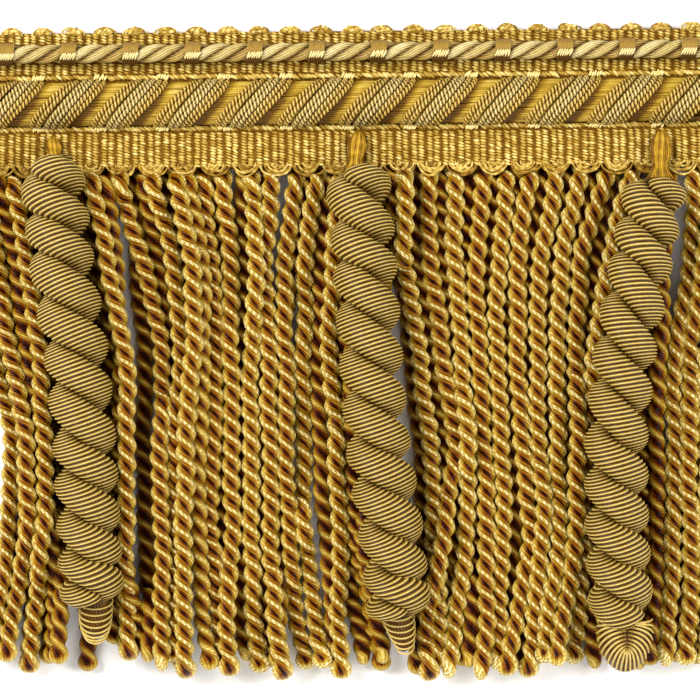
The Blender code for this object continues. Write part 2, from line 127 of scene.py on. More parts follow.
BACK_CORDS = (
    Cord(0, -93.8, -91.0, -86.5, -82.3, -82.8, -86.3, -87.5, -74.5),
    Cord(0, -91.0, -86.6, -83.4, -80.6, -81.0, -80.0, -80.0, -76.0),
    Cord(0, -88.5, -83.6, -80.5, -78.3, -78.0, -75.5, -75.5, -77.5),
    Cord(0, -81.0, -77.5, -74.8, -73.5, -74.5, -74.0, -74.0, -77.0),
    Cord(0, -77.5, -73.8, -72.0, -71.5, -72.5, -72.3, -72.5, -77.0),
    Cord(0, -72.0, -70.5, -68.8, -67.5, -66.3, -65.8, -65.8, -79.5),
    Cord(0, -66.3, -64.3, -62.5, -60.8, -59.5, -59.3, -59.3, -72.8),
    Cord(0, -63.5, -61.2, -59.9, -59.2, -58.8, -56.0, -56.0, -74.0),
    Cord(0, -61.3, -58.8, -57.0, -57.3, -58.0, -52.8, -52.5, -74.5),
    Cord(0, -54.5, -53.6, -51.3, -51.8, -51.3, -49.8, -50.5, -76.3),
    Cord(0, -52.0, -48.5, -45.0, -45.8, -45.4, -45.2, -45.2, -77.5),
    Cord(0, -47.5, -41.3, -40.5, -42.5, -42.5, -42.8, -42.0, -79.0),
    Cord(2, -40.5, -37.0, -36.5, -37.8, -38.0, -36.5, -35.0, -78.8),
    Cord(0, -34.3, -32.3, -31.5, -32.0, -32.3, -31.8, -31.3, -78.0),
    Cord(0, -26.8, -26.8, -27.0, -27.3, -27.5, -26.8, -25.8, -77.3),
    Cord(0, -22.0, -22.0, -22.5, -22.3, -22.0, -21.5, -18.8, -79.0),
    Cord(0, -10.5, -14.0, -18.3, -18.0, -17.5, -18.3, -17.3, -78.5),
    Cord(0, -5.0, -7.3, -8.5, -7.5, -6.2, -4.3, -3.8, -79.0),
    Cord(0, 0.0, -1.0, -2.0, -1.8, -1.3, 1.3, 3.8, -78.5),
    Cord(0, 3.0, 2.0, 0.5, 0.0, 1.3, 5.3, 8.5, -80.0),
    Cord(0, 7.0, 6.0, 4.5, 4.0, 3.0, 6.5, 8.3, -78.0),
    Cord(0, 8.8, 8.5, 7.5, 8.5, 10.5, 13.0, 13.8, -73.3),
    Cord(0, 10.5, 12.3, 15.3, 17.5, 19.0, 17.0, 16.8, -81.0),
    Cord(0, 16.5, 17.0, 20.3, 23.5, 22.5, 24.0, 23.0, -78.5),
    Cord(0, 22.8, 23.3, 25.5, 27.3, 26.5, 28.5, 28.0, -79.0),
    Cord(0, 30.0, 29.0, 30.0, 31.5, 32.0, 30.5, 29.5, -79.0),
    Cord(0, 36.5, 34.5, 34.5, 35.8, 36.3, 35.5, 35.0, -79.0),
    Cord(0, 42.3, 39.5, 39.3, 40.5, 41.5, 39.8, 39.0, -78.0),
    Cord(0, 48.8, 44.8, 44.3, 45.0, 47.0, 44.0, 42.5, -79.0),
    Cord(0, 55.0, 50.3, 49.3, 49.5, 50.5, 47.8, 46.5, -79.0),
    Cord(0, 61.5, 55.3, 54.3, 54.3, 54.5, 51.5, 49.8, -78.0),
    Cord(0, 66.3, 61.5, 60.3, 60.0, 60.0, 60.0, 61.8, -80.0),
    Cord(0, 71.5, 69.5, 67.0, 64.0, 63.5, 63.5, 64.5, -77.0),
    Cord(0, 77.5, 75.5, 72.5, 69.5, 69.0, 68.5, 68.5, -75.8),
    Cord(0, 76.3, 75.0, 74.5, 74.0, 74.0, 72.5, 72.0, -80.3),
    Cord(0, 79.5, 78.5, 77.3, 76.5, 77.5, 75.9, 75.3, -79.0),
    Cord(0, 88.5, 87.0, 83.0, 82.8, 83.3, 82.8, 81.5, -78.5),
    Cord(0, 94.3, 90.5, 87.0, 86.8, 87.0, 87.5, 86.8, -79.0),
)

# Millimetres: where a hanger's axis lies at the same heights, its upper end, where its wound strands end,
# and the heights where the groove between its strands crosses the front
Hanger = namedtuple("Hanger", "at_45 at_23 at_0 at_22 at_44 at_67 top_y end_y grooves")
HANGERS = (
    Hanger(
        -74.0, -71.8, -68.1, -66.0, -65.0, -63.8, 49.3, -61.5,
        (41.5, 32.5, 23.0, 11.3, 0.5, -10.0, -21.8, -31.0, -41.0, -50.3, -57.5),
    ),
    Hanger(
        1.8, 3.6, 5.0, 6.8, 10.1, 12.5, 46.3, -65.5,
        (40.3, 29.0, 20.0, 8.8, -2.5, -13.0, -23.8, -33.5, -44.5, -54.8, -62.0),
    ),
    Hanger(
        76.8, 72.6, 68.4, 66.1, 66.3, 67.5, 42.6, -68.2,
        (38.0, 28.8, 20.5, 9.3, -1.3, -11.3, -22.5, -32.5, -42.5, -52.0, -61.0),
    ),
)

Sweep = namedtuple("Sweep", "points tone cream")


# Shapes


def unit(vectors):
    """Each vector divided by its length."""
    return vectors / np.linalg.norm(vectors, axis=-1, keepdims=True)


def smoothstep(low, high, values):
    """Nought below low, one above high, and three squares less two cubes of the share between."""
    share = np.clip((values - low) / (high - low), 0, 1)
    return share * share * (3 - 2 * share)


def carry(paths, across, over, reference=(0.0, 0.0, 1.0)):
    """Corners round paths: path point + side axis times across + upper axis times over. The side axis is the
    reference crossed with the path's direction, and the upper axis stands square to both."""
    direction = unit(np.gradient(paths, axis=1))
    side = unit(np.cross(np.array(reference), direction))
    upper = np.cross(direction, side)
    return paths[:, :, None] + side[:, :, None] * across[..., None] + upper[:, :, None] * over[..., None]


def round_tubes(paths, radii, corners=6, reference=(0.0, 0.0, 1.0)):
    """Tubes of round section: across is the radius times the cosine of the corner's angle, over is the radius
    times its sine. radii is indexed by tube and ring."""
    angle = np.linspace(0, 2 * np.pi, corners, endpoint=False)
    return carry(paths, radii[..., None] * np.cos(angle), radii[..., None] * np.sin(angle), reference)


def sweep(points, tone=0.5, cream=0.0):
    """A batch of tubes with its two thread values, each spread over every corner."""
    shape = points.shape[:3]
    return Sweep(points, np.broadcast_to(tone, shape), np.broadcast_to(cream, shape))


def tube_faces(points, first_point):
    """Corner numbers of one batch's walls, four to a face, and of its end caps, one face for each end."""
    tubes, rings, corners = points.shape[:3]
    number = first_point + np.arange(tubes * rings * corners).reshape(tubes, rings, corners)
    beside = np.roll(number, -1, axis=2)
    walls = np.stack([number[:, :-1], beside[:, :-1], beside[:, 1:], number[:, 1:]], axis=-1)
    caps = np.stack([number[:, 0, ::-1], number[:, -1]], axis=1)
    return walls.reshape(-1, 4), caps.reshape(-1, corners)


def tube_uvs(points):
    """For each face corner, in millimetres: how far round the tube and how far along it."""
    tubes, rings, corners = points.shape[:3]
    middles = points.mean(axis=2)
    steps = np.linalg.norm(np.diff(middles, axis=1), axis=-1)
    along = np.concatenate([np.zeros((tubes, 1)), np.cumsum(steps, axis=1)], axis=1)
    girth = np.linalg.norm(points - np.roll(points, 1, axis=2), axis=-1).sum(axis=2).mean()
    u = np.broadcast_to(np.arange(corners + 1) * girth / corners, (tubes, rings, corners + 1))
    v = np.broadcast_to(along[..., None], (tubes, rings, corners + 1))
    uv = np.stack([u, v], axis=-1)
    walls = np.stack([uv[:, :-1, :-1], uv[:, :-1, 1:], uv[:, 1:, 1:], uv[:, 1:, :-1]], axis=-2)
    caps = np.stack([uv[:, 0, :-1][:, ::-1], uv[:, -1, :-1]], axis=1)
    return walls.reshape(-1, 2), caps.reshape(-1, 2)


def add_piece(name, sweeps, material, replaces=()):
    """One mesh object of all these tubes, riding on the root, with its thread values and UV map."""
    points, corners, sizes, uvs = [], [], [], []
    count = 0
    for batch in sweeps:
        faces = tube_faces(batch.points, count)
        corners += [part.ravel() for part in faces]
        sizes += [np.full(len(part), part.shape[1]) for part in faces]
        uvs += list(tube_uvs(batch.points))
        points.append(batch.points.reshape(-1, 3))
        count += len(points[-1])
    corners, sizes, uvs = np.concatenate(corners), np.concatenate(sizes), np.concatenate(uvs)
    mesh = bpy.data.meshes.new(name)
    mesh.vertices.add(count)
    mesh.vertices.foreach_set("co", (np.concatenate(points) * MM).ravel())
    mesh.loops.add(len(corners))
    mesh.loops.foreach_set("vertex_index", corners)
    mesh.polygons.add(len(sizes))
    mesh.polygons.foreach_set("loop_start", np.concatenate([[0], np.cumsum(sizes)[:-1]]))
    mesh.update(calc_edges=True)
    mesh.uv_layers.new(name="thread").uv.foreach_set("vector", uvs.ravel())
    for value in ("tone", "cream"):
        layer = mesh.attributes.new(value, "FLOAT", "POINT")
        layer.data.foreach_set("value", np.concatenate([getattr(batch, value).ravel() for batch in sweeps]))
    mesh.shade_smooth()
    mesh.materials.append(material)
    piece = bpy.data.objects.new(name, mesh)
    bpy.context.scene.collection.objects.link(piece)
    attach(piece, "root")
    if replaces:
        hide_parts(*replaces)
    return piece


# Materials


def linear(colour):
    """An sRGB hex colour, as linear red, green, blue and an alpha of one."""
    parts = [int(colour[i : i + 2], 16) / 255 for i in (1, 3, 5)]
    return (*[p / 12.92 if p <= 0.04045 else ((p + 0.055) / 1.055) ** 2.4 for p in parts], 1.0)


def add_node(tree, kind, settings=(), links=(), values=()):
    """A node with its properties, its inputs linked from other sockets and its input values. An input goes
    by its name, or by its number where several share a name."""
    made = tree.nodes.new(kind)
    for name, value in dict(settings).items():
        setattr(made, name, value)
    for name, source in dict(links).items():
        tree.links.new(source, made.inputs[name])
    for name, value in dict(values).items():
        made.inputs[name].default_value = value
    return made


def ramp(tree, factor, stops):
    """A colour ramp over a factor, with stops as (place, hex colour)."""
    made = add_node(tree, "ShaderNodeValToRGB", links={"Fac": factor})
    band = made.color_ramp
    band.elements.remove(band.elements[1])
    band.elements[0].position = stops[0][0]
    band.elements[0].color = linear(stops[0][1])
    for place, colour in stops[1:]:
        band.elements.new(place).color = linear(colour)
    return made.outputs["Color"]


def thread_material(
    name, gold, cream=None, roughness=0.4, twist=(0.5, 40, 0.3), fuzz=0.15, beads=None, lines=0.0, specular=0.2
):
    """A spun thread. Its colour runs from its grooves to its crest by the tone value, in gold or in cream:
    painted shade in the grooves and a painted highlight on the crest. twist is the fine ply's pitch in
    millimetres, its slant in degrees and its relief; fuzz is how much the colour wanders from place to place;
    beads is the pitch and slant of the beads along its crest; lines is how much painted shade darkens the fine
    ply's grooves. A wave's scale is pi over ten times its pitch."""
    material = bpy.data.materials.new(name)
    material.use_nodes = True
    tree = material.node_tree
    shader = tree.nodes["Principled BSDF"]
    shader.inputs["Roughness"].default_value = roughness
    shader.inputs["Specular IOR Level"].default_value = specular
    place = add_node(tree, "ShaderNodeTexCoord").outputs
    tone = add_node(tree, "ShaderNodeAttribute", {"attribute_name": "tone"}).outputs["Fac"]

    # The tone, with patches about a millimetre across
    patches = add_node(
        tree, "ShaderNodeTexNoise", (), {"Vector": place["Object"]}, {"Scale": 900.0, "Detail": 3.0}
    )
    wander = add_node(
        tree, "ShaderNodeMath", {"operation": "MULTIPLY_ADD"},
        {0: patches.outputs["Fac"]}, {1: fuzz, 2: -fuzz / 2},
    )
    tone_with_painted_light = add_node(
        tree, "ShaderNodeMath", {"operation": "ADD", "use_clamp": True}, {0: tone, 1: wander.outputs[0]}
    ).outputs[0]

    # The fine ply
    pitch, slant, relief = twist
    turned = add_node(
        tree, "ShaderNodeMapping", (), {"Vector": place["UV"]}, {"Rotation": (0, 0, math.radians(slant))}
    )
    height = add_node(
        tree, "ShaderNodeTexWave", {"bands_direction": "Y"}, {"Vector": turned.outputs[0]},
        {"Scale": math.pi / 10 / pitch, "Distortion": 0.6, "Detail": 1.0},
    ).outputs["Fac"]
    # Painted shade in the fine ply's grooves
    if lines:
        tone_with_painted_light = add_node(
            tree, "ShaderNodeMath", {"operation": "MULTIPLY_ADD", "use_clamp": True},
            {0: height, 2: tone_with_painted_light}, {1: -lines},
        ).outputs[0]

    # The beads: painted shade in the dips between them, only where the tone is over 0.72, which is the crest
    if beads:
        beside = add_node(
            tree, "ShaderNodeMapping", (), {"Vector": place["UV"]}, {"Rotation": (0, 0, math.radians(beads[1]))}
        )
        bead = add_node(
            tree, "ShaderNodeTexWave", {"bands_direction": "Y"}, {"Vector": beside.outputs[0]},
            {"Scale": math.pi / 10 / beads[0], "Distortion": 0.4, "Detail": 1.0},
        )
        crest = add_node(
            tree, "ShaderNodeMath", {"operation": "SUBTRACT", "use_clamp": True}, {0: tone}, {1: 0.72}
        )
        dip = add_node(
            tree, "ShaderNodeMath", {"operation": "MULTIPLY"}, {0: crest.outputs[0], 1: bead.outputs["Fac"]}
        ).outputs[0]
        tone_with_painted_light = add_node(
            tree, "ShaderNodeMath", {"operation": "SUBTRACT", "use_clamp": True}, {0: tone_with_painted_light, 1: dip}
        ).outputs[0]
        height = add_node(
            tree, "ShaderNodeMath", {"operation": "MULTIPLY_ADD"}, {0: dip, 2: height}, {1: -5.0}
        ).outputs[0]

    colour = ramp(tree, tone_with_painted_light, gold)
    if cream:
        share = add_node(tree, "ShaderNodeAttribute", {"attribute_name": "cream"}).outputs["Fac"]
        colour = add_node(
            tree, "ShaderNodeMix", {"data_type": "RGBA"}, {0: share, 6: colour, 7: ramp(tree, tone_with_painted_light, cream)}
        ).outputs[2]
    tree.links.new(colour, shader.inputs["Base Color"])
    bump = add_node(
        tree, "ShaderNodeBump", (), {"Height": height}, {"Strength": relief, "Distance": 0.15 * MM}
    )
    tree.links.new(bump.outputs[0], shader.inputs["Normal"])
    return material


# Colours, from the bottom of a thread's grooves to its crest. The dark end is painted shade in the grooves and
# the lightest end is the crest's colour with a painted highlight: the skirt's bullion cord runs from near black,
# painted shade between its plies, to cream on its crest thread, and the others are golds of the same dye
SKIRT_STOPS = (
    (0.0, "#240700"), (0.12, "#451500"), (0.26, "#783D00"), (0.42, "#8D640A"),
    (0.56, "#A3811F"), (0.72, "#CAAD54"), (0.88, "#F4E2A4"), (1.0, "#FFF6D2"),
)
GIMP_STOPS = ((0.0, "#1E0C00"), (0.3, "#5A3506"), (0.6, "#9C761F"), (0.85, "#D0B259"), (1.0, "#EEDA92"))
CREAM_STOPS = ((0.0, "#322006"), (0.3, "#765C24"), (0.6, "#B59F5E"), (0.85, "#DCCF9A"), (1.0, "#F3ECCC"))
WOUND_STOPS = ((0.0, "#261402"), (0.3, "#563C0E"), (0.6, "#96762A"), (0.85, "#C9AC5C"), (1.0, "#E6D084"))
SATIN_STOPS = ((0.0, "#241400"), (0.3, "#634208"), (0.6, "#A07E22"), (0.85, "#C6A642"), (1.0, "#E2CA7A"))
YARN_STOPS = ((0.0, "#4A2A02"), (0.4, "#91680A"), (0.7, "#C0941A"), (1.0, "#E0B842"))


# The skirt


def across_at(table, y):
    """Where each cord or hanger of a table lies at heights y: straight runs between its stations, rounded by
    a running mean over nine millimetres."""
    fine_y = np.arange(-92.0, 60.0, 0.5)
    kernel = np.ones(19) / 19
    places = []
    for row in table:
        heights, values = list(STATION_Y), [row.at_45, row.at_23, row.at_0, row.at_22, row.at_44, row.at_67]
        if hasattr(row, "tip_x"):
            heights.append(row.tip_y)
            values.append(row.tip_x)
        heights, values = np.array(heights), np.array(values)
        line = np.interp(fine_y, heights[::-1], values[::-1])
        line = np.convolve(np.pad(line, 9, mode="edge"), kernel, mode="valid")
        places.append(line + SKIRT_SKEW * fine_y)
    return np.array([np.interp(y, fine_y, line) for line in places])


def hanger_z(y):
    """Height of a hanger's axis: level over the skirt, rising over the heading's lower edge."""
    return HANGER_Z + (HANGER_TOP_Z - HANGER_Z) * smoothstep(HANGER_SETTLED_Y, 47.0, y)


def stacked_heights(cords, y):
    """Height of each cord's middle at heights y of the trim. A cord lies on the floor or on the cords laid
    before it: the highest of their heights plus the root of the stacking distance squared less the sideways
    distance squared. Under a hanger it is pressed down. A running mean then rounds it along the cord."""
    x = across_at(cords, y)
    hanger_x = across_at(HANGERS, y)
    z = np.full(x.shape, FLOOR_CORD_Z)
    laid = []
    for number in sorted(range(len(cords)), key=lambda i: cords[i].layer):
        for other in laid:
            gap = CORD_STACK**2 - (x[number] - x[other]) ** 2
            reaches = (gap > 0) & (y > cords[other].tip_y - 2)
            lifted = z[other] + np.sqrt(np.maximum(gap, 0))
            z[number] = np.where(reaches, np.maximum(z[number], lifted), z[number])
        for axis_x, last_y in zip(hanger_x, (-71.0, -76.0, -80.0)):
            room = (STRAND_OFFSET + STRAND_RADIUS + 1.5) ** 2 - (x[number] - axis_x) ** 2
            ceiling = hanger_z(y) - np.sqrt(np.maximum(room, 0))
            z[number] = np.where((room > 0) & (y > last_y), np.minimum(z[number], ceiling), z[number])
        laid.append(number)
    z = np.maximum(z, FLOOR_CORD_Z)
    kernel = np.hanning(15)
    kernel /= kernel.sum()
    return x, np.array([np.convolve(np.pad(row, 7, mode="edge"), kernel, mode="valid") for row in z])


def cord_section(quarter_angles, *quarter_values):
    """One two-ply section from a quarter of it: angles from the crest of a ply to the groove, with the reach,
    the tone on top and the tone at the sides for each. The other quarters mirror it. The tone on top falls to
    near black in the groove, painted shade, and the tone at the sides stays lighter, a painted highlight."""
    angle = np.array(quarter_angles, float)
    angles = np.concatenate([angle[:-1], 180 - angle[:0:-1], 180 + angle[:-1], 360 - angle[:0:-1]])
    mirrored = [np.array([*values[:-1], *values[:0:-1]] * 2) for values in quarter_values]
    return np.radians(angles), *mirrored


FINE_SECTION = cord_section(
    (0, 10, 17, 27, 45, 66, 80, 90),
    (2.47, 2.40, 2.12, 1.94, 1.88, 1.70, 1.46, 1.24),
    (1.0, 1.0, 0.84, 0.38, 0.46, 0.34, 0.08, 0.0),
    (0.90, 0.90, 0.90, 0.86, 0.78, 0.64, 0.56, 0.54),
)
PLAIN_SECTION = cord_section(
    (0, 22, 46, 74, 90),
    (2.38, 2.22, 1.92, 1.62, 1.32),
    (1.0, 0.76, 0.46, 0.30, 0.02),
    (0.92, 0.86, 0.74, 0.56, 0.50),
)


def skirt_cords(cords, heights, y_fine, section, steps_per_turn, root_z, seed):
    """Two-ply cords, each folded to a loop at its end.

    The section turns once in a lay, against the clock as the cord goes down, and stands still over the end
    loop. The groove between its plies gapes only on top and underneath. At the sides the section is filled
    out to an oval, 1.6 mm plus the square of the cosine from the crest, so that the cord looks like a chain
    of pods. The gape is a smoothstep of the sine of the angle from the sides, and the tone goes with it from
    the sides' to the top's: painted shade, near black, in the groove where it faces up or down, and a painted
    highlight along the sides. Over the last millimetres the section closes as the root of one less the share
    squared, and pale crest thread runs round the tip. Cords of the lowest layer are painted darker, as shade
    under the others. Undersides are pressed flat on the surface."""
    angles, reach, top_tone, side_tone_with_painted_highlight = section
    random = np.random.default_rng(seed)
    count = len(cords)
    x_fine, z_fine = heights
    tip_y = np.array([row.tip_y for row in cords])
    body_rings = round((ROOT_Y + 80) / CORD_LAY * steps_per_turn)
    share = np.linspace(0, 1, body_rings)
    closing = np.sin(np.linspace(0, np.pi / 2, 8)[1:-1])
    closing = np.append(closing, 0.995)
    body_y = ROOT_Y + (tip_y[:, None] + TIP_LENGTH - ROOT_Y) * share
    end_y = tip_y[:, None] + TIP_LENGTH * (1 - closing)
    y = np.concatenate([body_y, end_y], axis=1)
    x = np.array([np.interp(row, y_fine, line) for row, line in zip(y, x_fine)])
    z = np.array([np.interp(row, y_fine, line) for row, line in zip(y, z_fine)])
    wobble = random.uniform(0, 6.28, (count, 2, 1))
    x = x + 0.22 * np.sin(y / 5.3 + wobble[:, 0]) + 0.16 * np.sin(y / 2.9 + wobble[:, 1])
    rise = smoothstep(46.5, 41.0, y)
    z = root_z + (z - root_z) * rise
    paths = np.stack([x, y, z], axis=-1)
    lay = CORD_LAY * random.uniform(0.94, 1.06, (count, 1))
    end_turn = np.where(random.uniform(size=(count, 1)) < 0.75, 0.0, np.pi / 2)
    end_turn = end_turn + random.normal(0, 0.2, (count, 1))
    to_go = np.maximum(y - (tip_y[:, None] + FROZEN_LENGTH), 0)
    turn = end_turn + 2 * np.pi * to_go / lay
    open_share = np.concatenate([np.ones(body_rings), np.sqrt(1 - closing**2)])
    filled = 1.6 + (reach.max() - 1.6) * np.cos(angles) ** 2
    swell = 1 + 0.1 * smoothstep(5.0, 2.0, y - tip_y[:, None])
    size = random.uniform(0.96, 1.04, (count, 1)) * swell * open_share
    angle = turn[..., None] + angles
    clear_of_tip = smoothstep(0.9, 2.2, y - tip_y[:, None])[..., None]
    gape = smoothstep(0.62, 0.88, np.abs(np.sin(angle))) * clear_of_tip
    radius = (filled + (reach - filled) * gape) * size[..., None]
    flat = 0.32 + 0.66 * smoothstep(46.5, 41.5, y)
    points = carry(paths, radius * np.cos(angle), radius * np.sin(angle) * flat[..., None])
    points[..., 2] = np.maximum(points[..., 2], 0.0)
    rim = smoothstep(0.68, 0.86, np.abs(np.cos(angles))) * smoothstep(5.0, 3.0, y - tip_y[:, None])[..., None]
    # Painted shade and highlight: near black in the groove where it faces up or down, lighter along the sides
    tone = np.maximum(side_tone_with_painted_highlight + (top_tone - side_tone_with_painted_highlight) * gape, 0.93 * rim)
    tone_with_painted_light = 1 - (1 - tone) * open_share[:, None] ** 6
    layer = np.array([row.layer for row in cords])[:, None, None]
    # Painted shade: cords of the lowest layer, under the others, are 0.2 darker in tone
    depth = np.where(layer == 0, -0.2, 0.0) + random.uniform(-0.05, 0.05, (count, 1, 1))
    return sweep(points, np.clip(tone_with_painted_light + depth, 0, 1), 0.0)


def root_tape(low_z, high_z):
    """The narrow tape that holds one row's roots: a flat box section carried along the heading."""
    x = np.linspace(-HALF_LENGTH, HALF_LENGTH, 40)
    path = np.stack([x, np.full_like(x, 49.0), np.full_like(x, (low_z + high_z) / 2)], axis=-1)[None]
    half = (high_z - low_z) / 2
    across = np.broadcast_to([2.8, 2.8, 0, -2.8, -2.8, 0], (1, 40, 6))
    over = np.broadcast_to([-half, half, half, half, -half, -half], (1, 40, 6))
    return sweep(carry(path, across, over), 0.35)


def build_skirt():
    """Both rows of cords, each in two halves, with the tapes that hold their roots."""
    # Rayon bullion cord: glossy smooth filaments. Each crest is a fine row of bright beads, cream crest thread
    # with a painted highlight, over grooves painted dark as shade
    material = thread_material(
        "rayon_bullion_cord", SKIRT_STOPS, roughness=0.3, twist=(0.8, 84, 1.0), fuzz=0.22, beads=(0.7, -25),
        lines=0.17, specular=0.12,
    )
    y_fine = np.arange(-84.0, 54.0, 0.5)
    every = BACK_CORDS + FRONT_CORDS
    x, z = stacked_heights(every, y_fine)
    split = len(BACK_CORDS)
    kinds = (
        ("back", BACK_CORDS, slice(0, split), PLAIN_SECTION, 10, 0.75, 3),
        ("front", FRONT_CORDS, slice(split, None), FINE_SECTION, 13, 2.2, 4),
    )
    for name, cords, rows, section, steps, root_z, seed in kinds:
        half = len(cords) // 2
        for side, part in (("left", slice(0, half)), ("right", slice(half, None))):
            batch = skirt_cords(
                cords[part], (x[rows][part], z[rows][part]), y_fine, section, steps, root_z, seed + half
            )
            seed += 10
            add_piece(f"skirt_{name}_{side}", [batch], material, [f"fringe_{name}"])
    # Cotton tape: dull, with a plain weave's cross ribs
    tape = thread_material("cotton_root_tape", GIMP_STOPS, roughness=0.7, twist=(0.6, 0, 0.5))
    add_piece("root_tape_back", [root_tape(0.0, 1.3)], tape)
    add_piece("root_tape_front", [root_tape(1.6, 2.9)], tape)


# The hangers


def groove_turn(row, y):
    """Angle of a hanger's first strand about its axis: half a turn less at each groove down the list."""
    grooves = np.array([row.grooves[0] + 10, *row.grooves, row.grooves[-1] - 10])
    return -np.pi * (np.interp(y, grooves[::-1], np.arange(len(grooves))[::-1]) - 1)


def hanger_strands(row, axis_x, y, ends):
    """Two wound strands twisted together, each a stack of oval slices whose middles turn about the hanger's
    axis. Each slice lies square to the axis, then rises to the right, and leans forwards at the hanger's top
    and back at its lower end, so that its front bows up or down. The radius ripples once a wrap."""
    corners = 20
    around = np.linspace(0, 2 * np.pi, corners, endpoint=False)
    wrap = np.arange(len(y)) % 4
    ripple = WRAP_RELIEF * np.array([1.0, 0.2, -1.0, 0.2])[wrap]
    turn = (groove_turn(row, y) + np.array([[0.0], [np.pi]]))[..., None]
    outwards = ((STRAND_RADIUS + ripple) * ends)[:, None] * np.cos(around)
    sideways = ((STRAND_BREADTH + ripple) * ends)[:, None] * np.sin(around)
    middle_x = (STRAND_OFFSET * ends)[:, None] * np.cos(turn)
    local_x = outwards * np.cos(turn) - sideways * np.sin(turn)
    local_z = outwards * np.sin(turn) + sideways * np.cos(turn)
    axis_lean = np.gradient(axis_x, y)[:, None]
    bow = np.interp(y, [row.end_y, row.top_y], [-0.34, 0.3])[:, None]
    height = y[:, None] - axis_lean * (middle_x + local_x) + WRAP_RISE * local_x + bow * local_z
    x = axis_x[:, None] + middle_x + local_x
    z = hanger_z(y)[:, None] + (STRAND_OFFSET * ends)[:, None] * np.sin(turn) + local_z
    # Painted light and shade: each wrap's crest is painted bright and the groove after it dark, and each strand
    # is painted darker towards the groove where the two strands meet
    tone = np.array([1.0, 0.4, 0.0, 0.4])[wrap][None, :, None]
    outer = smoothstep(-1.0, -0.35, np.cos(around))
    return sweep(np.stack([x, height, z], axis=-1), tone * (0.35 + 0.65 * outer))


def loose_rings(middles, radii, drops):
    """Open turns of the gimp's wound thread: each a ring round the strand's core whose front hangs lower by
    its drop."""
    turn = np.linspace(0, 2 * np.pi, 33)
    middles, drops = np.array(middles, float), np.array(drops, float)[:, None]
    radius = np.array(radii, float)[:, None]
    paths = np.stack(
        [
            middles[:, 0:1] + radius * np.cos(turn),
            middles[:, 1:2] - drops * np.sin(turn),
            middles[:, 2:3] + radius * 0.9 * np.sin(turn),
        ],
        axis=-1,
    )
    wire = np.full(paths.shape[:2], 0.23)
    return sweep(round_tubes(paths, wire, 6, reference=(0.03, 1.0, 0.02)), 0.85)


def strand_core(points, widths, heights):
    """The strand's core where its wrap has opened: an oval section carried along it, closing at its end."""
    around = np.linspace(0, 2 * np.pi, 18, endpoint=False)
    across = np.array(widths, float)[None, :, None] * np.cos(around)
    over = np.array(heights, float)[None, :, None] * np.sin(around)
    return sweep(carry(np.array(points, float)[None], across, over), 0.4)


def end_fan(fold_x, fold_top, fold_foot, middle, breadth, drop, spokes):
    """The folded end of a hanger: its wraps leave a short fold sideways, the upper ones first, bend down and
    end on a half oval. Each is a square-law curve from the fold by way of a point level with its start, and
    its height falls as the share of the way out to the power of two and a half."""
    bearing = np.radians(np.linspace(-14, 194, spokes))[:, None]
    out = np.linspace(0.0, 1.0, 14)[None]
    lowness = np.clip(np.sin(bearing), 0, 1) ** 1.4
    start_x = fold_x + 0.25 * np.cos(bearing)
    start_y = fold_top + (fold_foot - fold_top) * lowness
    end_x = middle[0] + breadth * np.cos(bearing)
    end_y = middle[1] - drop * np.sin(bearing)
    way_x = start_x + 0.8 * (end_x - start_x)
    way_y = start_y + 0.12 * (end_y - start_y)
    first, second, third = (1 - out) ** 2, 2 * out * (1 - out), out**2
    paths = np.stack(
        [
            first * start_x + second * way_x + third * end_x,
            first * start_y + second * way_y + third * end_y,
            middle[2] - 8.5 * out**2.5 + 0 * bearing,
        ],
        axis=-1,
    )
    radii = np.broadcast_to(0.22 + 0.08 * np.sin(np.pi * out), paths.shape[:2])
    tone = 0.5 + 0.36 * smoothstep(0, 0.3, out) + 0 * bearing
    return sweep(round_tubes(paths, radii, 6), tone[..., None])


def hanger_end(number):
    """A hanger's lower end, as its loose turns and its bare core: an open coil on the first, a leaning open
    coil on the second and a folded fan on the third."""
    if number == 1:
        turn = np.arange(8)
        middles = np.stack([-64.0 + 0 * turn, -61.5 - 1.6 * turn + 0.08 * turn**2, 9.4 + 0 * turn], axis=-1)
        radii = (4.3, 4.2, 4.1, 4.0, 3.9, 3.7, 3.4, 3.1)
        drops = (1.9, 2.0, 2.2, 2.5, 2.8, 3.0, 3.1, 3.2)
        core_path = (
            (-64.5, -56.0, 9.6), (-64.2, -62.0, 9.4), (-64.0, -67.0, 9.2), (-64.0, -69.8, 9.0),
            (-64.0, -70.6, 9.0),
        )
        widths = (3.4, 3.4, 3.3, 2.2, 0.3)
        return loose_rings(middles, radii, drops), strand_core(core_path, widths, widths)
    if number == 2:
        turn = np.arange(7)
        middles = np.stack([11.0 + 0.36 * turn, -65.0 - 1.4 * turn, 9.6 - 0.1 * turn], axis=-1)
        radii = (4.1, 4.0, 3.8, 3.5, 3.1, 2.6, 2.1)
        drops = (1.9, 2.0, 2.1, 2.2, 2.2, 2.1, 2.0)
        core_path = (
            (10.2, -60.0, 9.8), (11.2, -66.0, 9.6), (12.3, -71.0, 9.3), (12.9, -74.0, 9.0),
            (13.0, -74.8, 9.0),
        )
        widths = (3.4, 3.3, 2.7, 1.7, 0.3)
        return loose_rings(middles, radii, drops), strand_core(core_path, widths, widths)
    core_path = [(67.9, y, 9.0) for y in (-67.8, -70.0, -73.0, -75.0, -76.5, -78.0, -79.2, -80.0, -80.3)]
    widths = (4.2, 6.2, 6.5, 6.0, 5.3, 4.3, 3.1, 1.7, 0.6)
    heights = (5.5, 5.8, 6.3, 6.6, 6.1, 4.2, 2.2, 0.9, 0.4)
    fan = end_fan(68.0, -67.8, -74.4, (67.9, -69.8, 17.9), 7.1, 10.6, 23)
    return fan, strand_core(core_path, widths, heights)


